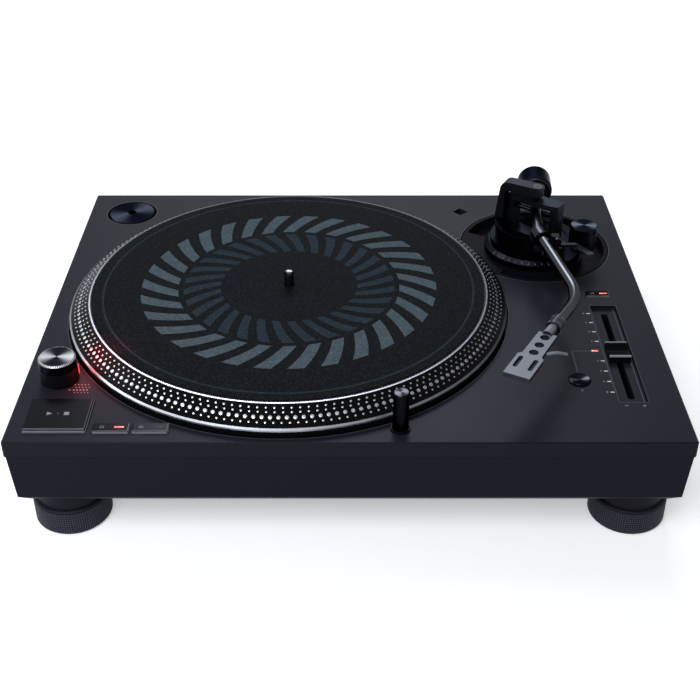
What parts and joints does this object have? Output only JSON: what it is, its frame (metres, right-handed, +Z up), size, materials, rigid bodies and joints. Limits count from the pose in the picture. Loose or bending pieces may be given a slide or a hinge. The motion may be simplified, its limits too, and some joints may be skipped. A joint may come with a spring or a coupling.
{
  "type": "direct drive turntable",
  "caption": "Record player with a motor-driven platter, felt mat, S-shaped balanced tonearm, pitch fader, start and speed keys, and screw feet.",
  "frame": {"origin": "the table plane under the middle of the plinth's bounding box", "axes": "+X to the user's right, towards the tonearm, +Y to the rear, +Z up"},
  "size_m": [0.4554, 0.3568, 0.1555],
  "materials": {
    "deck_paint": "satin dark paint on a die-cast deck",
    "base_paint": "satin moulding",
    "black_paint": "satin black paint",
    "black_plastic": "matte",
    "gloss_plastic": "gloss",
    "foot_rubber": "ribbed",
    "platter_metal": "turned, with black printed band",
    "steel": "polished",
    "tube_chrome": "satin chrome",
    "satin_metal": "satin",
    "brass": "turned",
    "felt": "printed felt",
    "grey_plate": "brushed dark",
    "magnet": "matt",
    "coils": "wound",
    "board": "printed board",
    "weight_metal": "satin black paint",
    "red_lens": "clear red"
  },
  "bodies": {
    "plinth": {"deck": "deck_paint", "base_shell": "base_paint", "bearing_housing": "brass", "motor_stator": "coils", "motor_board": "board", "power_supply": "steel", "ac_inlet": "black_plastic", "phono_terminal": "black_plastic", "arm_well_pan": "black_paint", "fader_panel": "grey_plate", "fader_unit": "black_plastic", "strobe_pod": "black_plastic", "strobe_window": "red_lens", "light_sleeve": "black_plastic", "headshell_socket": "black_plastic"},
    "platter_body": {"platter": "platter_metal", "platter_damping": "foot_rubber", "rotor_magnet": "magnet", "spindle": "steel"},
    "mat": {"slipmat": "felt"},
    "ring": {"height_ring": "black_paint"},
    "arm_mount": {"arm_base": "black_paint", "gimbal_bracket": "black_paint", "top_pivot_screw": "steel", "arm_side_plate": "grey_plate", "arm_rest_post": "black_plastic"},
    "gimbal": {"gimbal_frame": "black_paint"},
    "arm": {"arm_hub": "satin_metal", "arm_tube": "tube_chrome", "rear_shaft": "satin_metal", "headshell": "satin_metal", "finger_lift": "steel"},
    "nut": {"headshell_nut": "steel"},
    "weight_carrier": {"counterweight_sleeve": "black_plastic"},
    "weight": {"counterweight": "weight_metal"},
    "dial": {"force_dial": "black_plastic"},
    "lever": {"cue_lever": "grey_plate"},
    "lift": {"cue_lift": "black_plastic"},
    "clip": {"rest_clip": "steel"},
    "skate_knob": {"antiskate_knob": "satin_metal"},
    "lock": {"height_lock_lever": "black_plastic"},
    "power": {"power_knob": "satin_metal"},
    "start_key": {"start_stop_button": "gloss_plastic"},
    "speed_33_key": {"speed_33_button": "gloss_plastic"},
    "speed_45_key": {"speed_45_button": "gloss_plastic"},
    "reset_key": {"reset_button": "black_plastic"},
    "range_key": {"pitch_range_button": "black_plastic"},
    "slider": {"pitch_slider": "gloss_plastic"},
    "light": {"target_light": "black_paint"},
    "adapter": {"adapter_45": "satin_metal"},
    "ground": {"ground_screw": "steel"},
    "screw_front_left": {"foot_stud_front_left": "steel"},
    "pad_front_left": {"foot_front_left": "foot_rubber"},
    "screw_front_right": {"foot_stud_front_right": "steel"},
    "pad_front_right": {"foot_front_right": "foot_rubber"},
    "screw_rear_left": {"foot_stud_rear_left": "steel"},
    "pad_rear_left": {"foot_rear_left": "foot_rubber"},
    "screw_rear_right": {"foot_stud_rear_right": "steel"},
    "pad_rear_right": {"foot_rear_right": "foot_rubber"}
  },
  "joints": [
    {"name": "foot_height_front_left", "type": "slide", "parent": "plinth", "child": "screw_front_left", "axis": [0, 0, -1], "range_m": [0, 0.00625]},
    {"name": "foot_turn_front_left", "type": "hinge", "parent": "screw_front_left", "child": "pad_front_left", "pos_m": [-0.20016, -0.13385, 0], "axis": [0, 0, 1], "range_deg": [0, 1800]},
    {"name": "foot_height_front_right", "type": "slide", "parent": "plinth", "child": "screw_front_right", "axis": [0, 0, -1], "range_m": [0, 0.00625]},
    {"name": "foot_turn_front_right", "type": "hinge", "parent": "screw_front_right", "child": "pad_front_right", "pos_m": [0.20016, -0.13385, 0], "axis": [0, 0, 1], "range_deg": [0, 1800]},
    {"name": "foot_height_rear_left", "type": "slide", "parent": "plinth", "child": "screw_rear_left", "axis": [0, 0, -1], "range_m": [0, 0.00625]},
    {"name": "foot_turn_rear_left", "type": "hinge", "parent": "screw_rear_left", "child": "pad_rear_left", "pos_m": [-0.20016, 0.13385, 0], "axis": [0, 0, 1], "range_deg": [0, 1800]},
    {"name": "foot_height_rear_right", "type": "slide", "parent": "plinth", "child": "screw_rear_right", "axis": [0, 0, -1], "range_m": [0, 0.00625]},
    {"name": "foot_turn_rear_right", "type": "hinge", "parent": "screw_rear_right", "child": "pad_rear_right", "pos_m": [0.20016, 0.13385, 0], "axis": [0, 0, 1], "range_deg": [0, 1800]},
    {"name": "platter_spin", "type": "hinge", "parent": "plinth", "child": "platter_body", "pos_m": [-0.04646, -0.00685, 0.098], "axis": [0, 0, 1], "continuous": true},
    {"name": "mat_slip", "type": "hinge", "parent": "platter_body", "child": "mat", "pos_m": [-0.04646, -0.00685, 0.114], "axis": [0, 0, 1], "continuous": true},
    {"name": "ring_turn", "type": "hinge", "parent": "plinth", "child": "ring", "pos_m": [0.15066, 0.07898, 0.098], "axis": [0, 0, 1], "range_deg": [0, 180]},
    {"name": "arm_height", "type": "slide", "parent": "plinth", "child": "arm_mount", "axis": [0, 0, 1], "range_m": [0, 0.006]},
    {"name": "arm_swing", "type": "hinge", "parent": "arm_mount", "child": "gimbal", "pos_m": [0.15066, 0.07898, 0.098], "axis": [0, 0, 1], "range_deg": [-45, 0]},
    {"name": "arm_lift", "type": "hinge", "parent": "gimbal", "child": "arm", "pos_m": [0.15066, 0.07898, 0.134], "axis": [-0.7986, 0.6018, 0], "range_deg": [0, 14]},
    {"name": "nut_turn", "type": "hinge", "parent": "arm", "child": "nut", "pos_m": [0.14284, -0.09235, 0.134], "axis": [-0.5, -0.866, 0], "range_deg": [0, 90]},
    {"name": "weight_travel", "type": "slide", "parent": "arm", "child": "weight_carrier", "axis": [0.0698, 0.9976, 0], "range_m": [-0.002, 0.004]},
    {"name": "weight_turn", "type": "hinge", "parent": "weight_carrier", "child": "weight", "pos_m": [0.15546, 0.12175, 0.134], "axis": [0.0698, 0.9976, 0], "range_deg": [-480, 960]},
    {"name": "dial_turn", "type": "hinge", "parent": "weight_carrier", "child": "dial", "pos_m": [0.15546, 0.12175, 0.134], "axis": [0.0698, 0.9976, 0], "range_deg": [0, 320]},
    {"name": "cue_lever_turn", "type": "hinge", "parent": "arm_mount", "child": "lever", "pos_m": [0.18016, 0.04898, 0.1162], "axis": [-0.848, -0.5299, 0], "range_deg": [0, 60]},
    {"name": "cue_lift_rise", "type": "slide", "parent": "arm_mount", "child": "lift", "axis": [0, 0, 1], "range_m": [0, 0.0035]},
    {"name": "clip_turn", "type": "hinge", "parent": "arm_mount", "child": "clip", "pos_m": [0.15993, 0.02098, 0.137], "axis": [0, 1, 0], "range_deg": [-175, 0]},
    {"name": "skate_turn", "type": "hinge", "parent": "arm_mount", "child": "skate_knob", "pos_m": [0.18766, 0.06098, 0.13], "axis": [0, 0, 1], "range_deg": [0, 270]},
    {"name": "lock_turn", "type": "hinge", "parent": "plinth", "child": "lock", "pos_m": [0.13866, 0.12898, 0.096], "axis": [0, 0, 1], "range_deg": [0, 90]},
    {"name": "power_turn", "type": "hinge", "parent": "plinth", "child": "power", "pos_m": [-0.20286, -0.10675, 0.112], "axis": [0, 0, 1], "range_deg": [0, 40]},
    {"name": "start_press", "type": "slide", "parent": "plinth", "child": "start_key", "axis": [0, 0, -1], "range_m": [0, 0.002], "stiffness_N_per_m": 400, "springref_m": -0.002},
    {"name": "speed_33_press", "type": "slide", "parent": "plinth", "child": "speed_33_key", "axis": [0, 0, -1], "range_m": [0, 0.001], "stiffness_N_per_m": 400, "springref_m": -0.002},
    {"name": "speed_45_press", "type": "slide", "parent": "plinth", "child": "speed_45_key", "axis": [0, 0, -1], "range_m": [0, 0.001], "stiffness_N_per_m": 400, "springref_m": -0.002},
    {"name": "reset_press", "type": "slide", "parent": "plinth", "child": "reset_key", "axis": [0, 0, -1], "range_m": [0, 0.001], "stiffness_N_per_m": 400, "springref_m": -0.002},
    {"name": "range_press", "type": "slide", "parent": "plinth", "child": "range_key", "axis": [0, 0, -1], "range_m": [0, 0.0008], "stiffness_N_per_m": 400, "springref_m": -0.002},
    {"name": "pitch_travel", "type": "slide", "parent": "plinth", "child": "slider", "axis": [0, 1, 0], "range_m": [-0.049, 0.049]},
    {"name": "light_travel", "type": "slide", "parent": "plinth", "child": "light", "axis": [0, 0, -1], "range_m": [0, 0.026]},
    {"name": "adapter_off", "type": "slide", "parent": "plinth", "child": "adapter", "axis": [0, 0, 1], "range_m": [0, 0.03]},
    {"name": "ground_turn", "type": "hinge", "parent": "plinth", "child": "ground", "pos_m": [0.095, 0.16, 0.0633], "axis": [0, 1, 0], "range_deg": [0, 720]}
  ],
  "couplings": [
    {"joint": "foot_height_front_left", "follows": "foot_turn_front_left", "m_per_rad": 0.00019894},
    {"joint": "foot_height_front_right", "follows": "foot_turn_front_right", "m_per_rad": 0.00019894},
    {"joint": "foot_height_rear_left", "follows": "foot_turn_rear_left", "m_per_rad": 0.00019894},
    {"joint": "foot_height_rear_right", "follows": "foot_turn_rear_right", "m_per_rad": 0.00019894},
    {"joint": "arm_height", "follows": "ring_turn", "m_per_rad": 0.0019099},
    {"joint": "weight_travel", "follows": "weight_turn", "m_per_rad": 0.00023873},
    {"joint": "cue_lift_rise", "follows": "cue_lever_turn", "m_per_rad": 0.00334}
  ]
}
